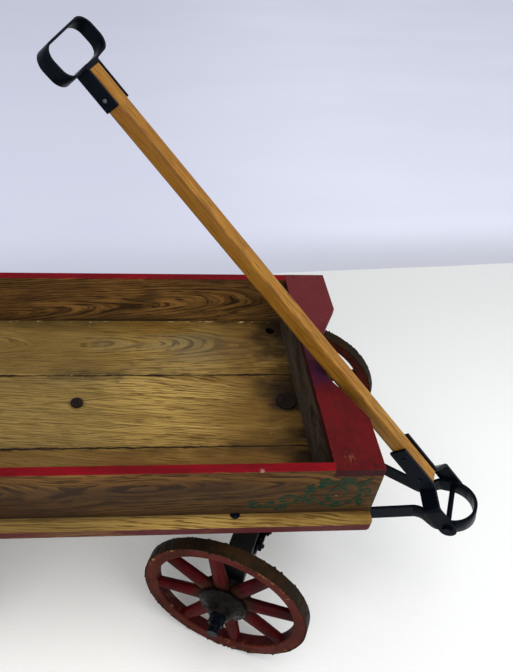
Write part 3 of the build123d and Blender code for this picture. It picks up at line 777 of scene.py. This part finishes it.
def set_heads(bench, given, points):
    """Put the head on each point, face it, and vary its size and turn."""
    size = bench.node("FunctionNodeRandomValue", {2: 0.88, 3: 1.12, "Seed": given["Seed"]}, data_type="FLOAT")
    spin = random_vector(bench, (-0.05, -0.05, 0), (0.05, 0.05, 6.28), given["Seed"])
    facing = bench.node("FunctionNodeAlignRotationToVector", {"Vector": given["Facing"]}, axis="Z")
    facing = bench.node("FunctionNodeRotateRotation", {0: facing.outputs[0], 1: spin}, rotation_space="LOCAL")
    head = bench.node("GeometryNodeObjectInfo", {"Object": given["Head"]})
    heads = bench.node("GeometryNodeInstanceOnPoints", {
        "Points": points, "Instance": head.outputs["Geometry"], "Rotation": facing.outputs[0],
        "Scale": size.outputs[1]})
    hand_out(bench, heads.outputs[0], given["Finish"])


HEAD_INPUTS = {"Head": "Object", "Facing": "Vector", "Seed": "Int", "Finish": "Material", "Count": "Int"}
ROW_INPUTS = {**HEAD_INPUTS, "Start": "Vector", "End": "Vector", "Wander": "Float"}
bench, given = empty_tree("row_of_heads", ROW_INPUTS)
line = bench.node("GeometryNodeMeshLine", {"Count": given["Count"], "Start Location": given["Start"],
                                           "Offset": given["End"]}, mode="END_POINTS")
drift = random_vector(bench, (-1, -1, 0), (1, 1, 0), given["Seed"])
set_heads(bench, given, moved_by(bench, line.outputs[0], drift, given["Wander"]))
row_tree = bench.tree
bench, given = empty_tree("ring_of_heads", {**HEAD_INPUTS, "Radius": "Float"})
ring = bench.node("GeometryNodeMeshCircle", {"Vertices": given["Count"], "Radius": given["Radius"]})
set_heads(bench, given, ring.outputs[0])
ring_tree = bench.tree
print("trees", row_tree.name, ring_tree.name)

# %% Growing a tree into a plain mesh
def grown(tree, **values):
    """The mesh that a tree makes with these inputs."""
    holder = placed("holder", bpy.data.meshes.new("holder"))
    grow = holder.modifiers.new("grow", "NODES")
    grow.node_group = tree
    for item in tree.interface.items_tree:
        if item.in_out == "INPUT":
            grow[item.identifier] = values[item.name]
    seen_by = bpy.context.evaluated_depsgraph_get()
    mesh = bpy.data.meshes.new_from_object(holder.evaluated_get(seen_by), depsgraph=seen_by)
    bpy.data.objects.remove(holder)
    coated(mesh, values["Finish"])
    mesh.polygons.foreach_set("material_index", [0] * len(mesh.polygons))
    return mesh


def gathered(name, meshes, body):
    """One piece made of several meshes of one finish, riding on a body."""
    work = bmesh.new()
    for mesh in meshes:
        work.from_mesh(mesh)
    piece = placed(name, settled(work, name, meshes[0].materials[0]))
    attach(piece, body)
    print(name, len(piece.data.polygons), "faces")
    return piece


def row(head, start, end, count, facing, seed, wander=0.0, finish=None):
    return grown(row_tree, Head=head, Start=start, End=end, Count=count, Facing=facing, Seed=seed,
                 Wander=wander * MM, Finish=finish or strap_iron)


def lone(head, at, facing, seed, finish=None):
    return row(head, at, at, 1, facing, seed, finish=finish)


def head_of(name, profile, sides=16):
    return bpy.data.objects.new(name, turned(name, profile, sides, strap_iron))

# %% [markdown]
# ## Nails
# The planks are nailed to the cleats below them, the cap to the board under it, and the sides to
# the end boards. The heads are hammered flush, so they stand only a fraction of a millimetre high.

# %% Nails in the wood
nail = head_of("nail_head", dome(1.4, 0.25), 12)
f = Finish("brown_nail", roughness=0.6, gloss=0.1)
f.colour(f.mix(f.noise(f.spot, 300.0), paint(0.12, 0.070, 0.022), paint(0.24, 0.15, 0.05)))
nail_iron = f.material
UP, BOTH_SIDES = (0, 0, 1), (-1, 1)
CLEAT_NAILS, ROW_END = (("front", 0.030), ("middle", 0.012), ("rear", 0.030)), 0.166
END_NAILS_X, END_NAILS_Z = (0.2474, -0.4640), (floor_top + 0.014, floor_top + 0.066)
CAP_NAILS_X, CAP_NAILS_Y = (0.254, 0.291), 0.184
nails = []
for seed, (where, gap) in enumerate(CLEAT_NAILS):
    low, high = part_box("cleat_" + where)
    for side in BOTH_SIDES:
        x = (low.x + high.x) / 2 + side * gap
        nails.append(row(nail, (x, -ROW_END, floor_top), (x, ROW_END, floor_top), 4, UP, 5 * seed + side,
                         5.0, nail_iron))
for seed, x in enumerate(END_NAILS_X):
    for side in BOTH_SIDES:
        start, end = ((x, side * SIDE_FACE, z) for z in END_NAILS_Z)
        nails.append(row(nail, start, end, 3, (0, side, 0), 9 + seed + side, 2.0, nail_iron))
gathered("nails", nails, "wagon_body")
cap_nails = []
for side in BOTH_SIDES:
    start, end = ((x, side * CAP_NAILS_Y, side_top) for x in CAP_NAILS_X)
    cap_nails.append(row(nail, start, end, 2, UP, 31 + side, 1.5, bolt_iron))
gathered("cap_nails", cap_nails, "wagon_body")

# %% [markdown]
# ## Bolts, plates and rivets
# Carriage bolts come down through the ledges, square nuts hold the drawbar and the brace to the
# axle beams, and a second plate doubles each foot of the drawbar where the bolt goes through. The
# brace, of iron as thick as STRAP, has its feet on the rear beam and its toes on the middle cleat.

# %% Bolts in the bed and its brace
carriage = head_of("carriage_head", dome(6.5, 2.2), 20)
square_nut = head_of("square_nut", nut(9.0, 5.0, 3.5), 4)
rivet = head_of("rivet", dome(3.2, 1.4), 14)
hub_rivet = head_of("hub_rivet", dome(2.4, 1.0), 12)
LEDGE_BOLTS_X, LEDGE_BOLT_Y = (0.1209, -0.2877), 0.1914
STRAP, FOOT_Y, FOOT_Z, TOE_Y, TOE_Z = 4.8 * MM, 0.127, 0.1425, 0.052, 0.2688
bolts = []
for x in LEDGE_BOLTS_X:
    for side in BOTH_SIDES:
        y = side * LEDGE_BOLT_Y
        bolts.append(lone(carriage, (x, y, floor_top), UP, 41))
        bolts.append(lone(square_nut, (x, y, bed_under), (0, 0, -1), 43))
brace_low, brace_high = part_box("rear_brace")
for side in BOTH_SIDES:
    bolts.append(lone(square_nut, (brace_low.x + STRAP, side * FOOT_Y, FOOT_Z), (1, 0, 0), 47))
    bolts.append(lone(square_nut, (brace_high.x - STRAP, side * TOE_Y, TOE_Z), (-1, 0, 0), 53))
gathered("bed_bolts", bolts, "wagon_body")

# %% Drawbar feet and the handle's rivets
def carried(mesh, place):
    mesh.transform(place)
    return mesh


def plate(low, high, material):
    """A flat plate between two corners in millimetres, its edges eased."""
    work = bmesh.new()
    bmesh.ops.create_cube(work, size=1.0)
    for corner in work.verts:
        corner.co = Vector(((a + b) / 2 + share * (b - a)) * MM for a, b, share in zip(low, high, corner.co))
    bmesh.ops.bevel(work, geom=work.edges[:], offset=0.6 * MM, segments=2, affect="EDGES")
    return settled(work, "plate", material)


FOOT_FACE, PLATE_FACE, PLATE_Y, PLATE_Z = 25.1, 29.9, (104, 138), (131, 154)
feet = []
for side in BOTH_SIDES:
    near_end, far_end = sorted(side * y for y in PLATE_Y)
    low, high = (FOOT_FACE, near_end, PLATE_Z[0]), (PLATE_FACE, far_end, PLATE_Z[1])
    feet.append(carried(plate(low, high, strap_iron), gear))
    for out, ahead in ((121, PLATE_FACE), (148, FOOT_FACE)):
        at = gear @ Vector((ahead * MM, side * out * MM, FOOT_Z))
        feet.append(lone(square_nut, at, gear.to_3x3() @ Vector((1, 0, 0)), 61 + out))
gathered("drawbar_feet", feet, "front_gear")
worn_steel = iron_finish("worn_rivet", paint(0.060, 0.066, 0.072), paint(0.020, 0.018, 0.016), 0.62,
                         0.3, 0.6, paint(0.16, 0.17, 0.18), lumps=200.0)
STUDS = (("grip", 15.9, 780, worn_steel), ("yoke", 17.5, 80, strap_iron), ("yoke", 17.5, 124, strap_iron))
studs = {"yoke": [], "grip": []}
for side in BOTH_SIDES:
    out = handle.to_3x3() @ Vector((0, side, 0))
    for group, reach, high, finish in STUDS:
        at = handle @ Vector((0, side * reach * MM, high * MM))
        studs[group].append(lone(rivet, at, out, 71 + high, finish))
for group, heads in studs.items():
    gathered(group + "_rivets", heads, "handle")

# %% Rivets round the hubs
RIVET_RING, HUB_FACES = 0.0295, ((1, 0.0146), (-1, -0.0125))
for seed, wheel in enumerate(WHEELS, 81):
    rings = []
    for side, face in HUB_FACES:
        made = grown(ring_tree, Head=hub_rivet, Facing=(0, 0, side), Seed=seed, Finish=hub_iron, Count=8,
                     Radius=RIVET_RING)
        made.transform(Matrix.Rotation(SPOKE_PHASE + SPOKE_STEP / 2, 4, "Z"))
        rings.append(carried(made, wheel_place(wheel) @ Matrix.Translation((0, 0, face))))
    gathered("hub_rivets_" + wheel, rings, "wheel_" + wheel)

# %% [markdown]
# ## Painted scrollwork
# Each side board has a scroll of green leaves near its ends. It is sign painter's brushwork: every
# stroke is thin, swells and thins again. So each is a smooth line through a few points, given a
# width that follows a sine, and a skin of paint a tenth of a millimetre thick. Half of the old
# paint has flaked off, which the finish does by showing the board's brown through it. The long
# middle of each board stays plain.

# %% Brush strokes
f = Finish("leaf_green", roughness=0.6, gloss=0.03)
flake = f.drawn((90, 200, 260), 4.0, 0.7)
shift = f.noise(f.spot, 60.0)
green = f.mix(shift, paint(0.003, 0.020, 0.011), paint(0.007, 0.038, 0.022))
f.colour(f.mix(f.between(flake, 0.45, 0.58, 0.0, 0.85), green, paint(0.052, 0.030, 0.014)))
f.relief(flake, 0.0001)
leaf_green = f.material
STALK = ((0, 10), (12, 5), (26, 4), (40, 8), (54, 17), (66, 30), (78, 44), (94, 55), (114, 57), (130, 48),
         (136, 32), (128, 16), (112, 10), (98, 17), (94, 31), (102, 42), (115, 41), (120, 31), (113, 25))
SCROLL = (
    (6.0, STALK), (5.0, ((54, 17), (50, 26), (40, 28), (33, 22), (37, 15), (44, 18))),
    (5.0, ((66, 30), (76, 22), (84, 12), (96, 5), (110, 3), (122, 6))), (8.0, ((-8, 16), (-2, 14), (6, 8))),
    (8.0, ((-8, 4), (0, 7), (10, 5))), (7.5, ((14, 5), (19, 13), (27, 15))),
    (7.5, ((26, 4), (34, -1), (44, 1))), (9.0, ((58, 20), (67, 17), (74, 9))),
    (9.0, ((68, 33), (66, 43), (72, 53))), (8.5, ((84, 49), (82, 58), (90, 64))),
    (9.0, ((104, 56), (112, 63), (124, 63))), (9.0, ((126, 51), (137, 53), (144, 62))),
    (9.0, ((135, 38), (143, 36), (147, 26))), (8.5, ((130, 19), (138, 14), (140, 4))),
    (7.5, ((102, 42), (108, 49), (117, 49))))
PAINT_LIFT, LAYER = 0.08 * MM, 0.015 * MM


def smooth_line(points, steps=7):
    """Points of a curve that passes through all the given ones."""
    held = [points[0], *points, points[-1]]
    line = []
    for corners in zip(held, held[1:], held[2:], held[3:]):
        for t in (i / steps for i in range(steps)):
            line.append(tuple(0.5 * (2 * q + (r - p) * t + (2 * p - 5 * q + 4 * r - s) * t * t
                                     + (3 * q - p - 3 * r + s) * t ** 3) for p, q, r, s in zip(*corners)))
    return [*line, points[-1]]


def scroll(start, heading, side):
    """Strokes of one scroll from start, running forward or back along the near or far board."""
    work = bmesh.new()
    for layer, (width, points) in enumerate(SCROLL):
        out_to = SIDE_FACE + PAINT_LIFT + layer * LAYER
        line = smooth_line(points)
        last = len(line) - 1
        pairs = []
        for i, (u, w) in enumerate(line):
            before, after = line[max(i - 1, 0)], line[min(i + 1, last)]
            along = Vector((after[0] - before[0], after[1] - before[1])).normalized()
            half = 0.6 * width * (0.12 + 0.88 * math.sin(math.pi * i / last) ** 0.7)
            edge = []
            for out in (half, -half):
                x = start + heading * (u - along.y * out) * MM
                z = floor_top + (11 + w + along.x * out) * MM
                edge.append(work.verts.new((x, side * out_to, z)))
            pairs.append(edge)
        for (a, b), (c, d) in zip(pairs, pairs[1:]):
            work.faces.new((a, b, d, c) if heading * side > 0 else (c, d, b, a))
    work.normal_update()
    bmesh.ops.solidify(work, geom=work.faces[:], thickness=0.1 * MM)
    return settled(work, "scroll", leaf_green)


SCROLLS_FROM = ((0.144, 1), (-0.328, -1))
scrolls = [scroll(start, heading, side) for start, heading in SCROLLS_FROM for side in BOTH_SIDES]
gathered("painted_scrolls", scrolls, "wagon_body")

# %% [markdown]
# ## Tyres and hubs in the round
# Both are turned shapes. The tyre is a flat iron hoop whose edges are hammered and rusted ragged,
# so Geometry Nodes sweep an eased strip round a circle and push its skin in and out by noise. The
# hub is a casting: a flange that swells into the barrel, turned from a profile as the heads are.

# %% The tyre's tree
def seeded_noise(bench, seed, scale, detail, roughness=0.5):
    return bench.node("ShaderNodeTexNoise", {"W": seed, "Scale": scale, "Detail": detail,
                                             "Roughness": roughness}, noise_dimensions="4D").outputs[0]


HOOP_SIZES = dict.fromkeys(("Radius", "Width", "Thickness", "Dent", "Burr", "Seed"), "Float")
bench, given = empty_tree("ragged_hoop", {**HOOP_SIZES, "Finish": "Material"})
middle = bench.math("MULTIPLY_ADD", given["Thickness"], -0.5, given["Radius"])
hoop = bench.node("GeometryNodeCurvePrimitiveCircle", {"Resolution": 480, "Radius": middle}).outputs[0]
strip = bench.node("GeometryNodeCurvePrimitiveQuadrilateral", {0: given["Thickness"], 1: given["Width"]})
eased = bench.node("GeometryNodeFilletCurve", {"Curve": strip.outputs[0], "Radius": 0.0006, "Count": 2},
                   mode="POLY")
fine = bench.node("GeometryNodeResampleCurve", {"Curve": eased.outputs[0], "Length": 0.0011}, mode="LENGTH")
swept = bench.node("GeometryNodeCurveToMesh", {"Curve": hoop, "Profile Curve": fine.outputs[0]}).outputs[0]
rough = seeded_noise(bench, given["Seed"], 150.0, 3.0, 0.7)
dent = bench.times(bench.minus(rough, 0.74), given["Dent"])
dented = moved_by(bench, swept, bench.node("GeometryNodeInputNormal").outputs[0], dent)
height = bench.split(bench.node("GeometryNodeInputPosition").outputs[0])[2]
on_rim = bench.math("GREATER_THAN", bench.size(height), bench.times(given["Width"], 0.46))
spikes = seeded_noise(bench, given["Seed"], 260.0, 2.0)
above = bench.node("ShaderNodeMapRange", {"Value": spikes, "From Min": 0.56, "From Max": 0.80}).outputs[0]
burr = bench.times(bench.times(bench.times(above, given["Burr"]), bench.math("SIGN", height)), on_rim)
ragged = moved_by(bench, dented, (0, 0, 1), burr)
hand_out(bench, bench.node("GeometryNodeSetShadeSmooth", {"Geometry": ragged}).outputs[0], given["Finish"])
hoop_tree = bench.tree
print("tree", hoop_tree.name)

# %% Tyres and hubs
HUB = [(8.4, 30.5), (13.0, 30.5), (14.8, 30.0), (15.9, 28.6), (16.6, 26.0), (18.0, 22.5), (20.5, 19.6),
       (24.0, 17.2), (28.5, 15.3), (32.5, 13.9), (35.0, 12.9), (36.0, 11.6), (35.8, 9.9), (31.5, 9.5),
       (31.3, -9.5), (35.8, -9.9), (36.0, -11.2), (35.6, -12.2), (34.0, -12.5), (22.0, -13.4), (18.0, -15.5),
       (17.0, -19.0), (16.8, -22.6), (15.6, -24.0), (8.4, -24.0)]
tyre_low, tyre_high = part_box("tyre_rear_left")
for seed, wheel in enumerate(WHEELS, 91):
    place = wheel_place(wheel)
    tyre = grown(hoop_tree, Radius=(tyre_high.z - tyre_low.z) / 2, Width=tyre_high.y - tyre_low.y,
                 Thickness=2.4 * MM, Dent=2.0 * MM, Burr=4.5 * MM, Seed=float(seed), Finish=tyre_steel)
    piece = gathered("tyre_" + wheel + "_worn", [carried(tyre, place)], "wheel_" + wheel)
    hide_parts("tyre_" + wheel)
    casting = turned("hub_" + wheel + "_cast", HUB, 48, hub_iron)
    piece = gathered("hub_" + wheel + "_cast", [carried(casting, place)], "wheel_" + wheel)
    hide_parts("hub_" + wheel)

# %% [markdown]
# ## Edges that catch the light
# CAD edges are knife sharp. Real boards and straps are eased by sanding, paint and years, so each
# gets a narrow bevel. CAD meshes come with split corners, which are welded first.

# %% Eased edges
EASED = {"floor_board_right": 0.5, "floor_board_middle": 0.5, "floor_board_left": 0.5,
         "side_board_left": 0.8, "side_board_right": 0.8, "end_board_front": 0.8, "end_board_rear": 0.8,
         "front_cap": 0.9, "pole": 1.4, "grip": 0.4, "drawbar": 0.5, "yoke_strap_left": 0.5,
         "yoke_strap_right": 0.5, "rear_brace": 0.5}
for node, width in EASED.items():
    piece = frame["nodes"][node]
    piece.modifiers.new("weld", "WELD").merge_threshold = 0.01 * MM
    ease = piece.modifiers.new("ease", "BEVEL")
    ease.width, ease.segments, ease.harden_normals = width * MM, 2, True
    ease.limit_method, ease.angle_limit = "ANGLE", math.radians(40)
print("eased", len(EASED), "pieces")

# %% Cotter pins at the axle ends
def wire(points, radius, material):
    """A round wire through points in metres."""
    curve = bpy.data.curves.new("wire", "CURVE")
    curve.dimensions, curve.bevel_depth, curve.bevel_resolution = "3D", radius, 3
    curve.use_fill_caps = True
    spline = curve.splines.new("POLY")
    spline.points.add(len(points) - 1)
    for point, place in zip(spline.points, points):
        point.co = (*place, 1.0)
    return coated(bpy.data.meshes.new_from_object(bpy.data.objects.new("wire", curve)), material)


AXLE_END = 0.0485
cotters = {"front": [], "rear": []}
for seed, wheel in enumerate(WHEELS):
    place = wheel_place(wheel) @ Matrix.Translation((0, 0, AXLE_END)) @ Matrix.Rotation(0.7 + seed, 4, "Z")
    for bend in (1, -1):
        eye = [(-9.5 - 2.6 * math.cos(a), bend * (0.6 + 2.0 * math.sin(a)), 0)
               for a in (i * math.pi / 8 for i in range(9))]
        leg = [(-6.0, bend * 0.6, 0), (6.5, bend * 0.6, 0), (8.5, bend * 1.6, 0), (10.5, bend * 4.6, 0)]
        points = [place @ (Vector(p) * MM) for p in [*eye, *leg]]
        cotters[wheel.split("_")[0]].append(wire(points, 1.0 * MM, bolt_iron))
gathered("cotter_pins_front", cotters["front"], "front_gear")
gathered("cotter_pins_rear", cotters["rear"], "wagon_body")
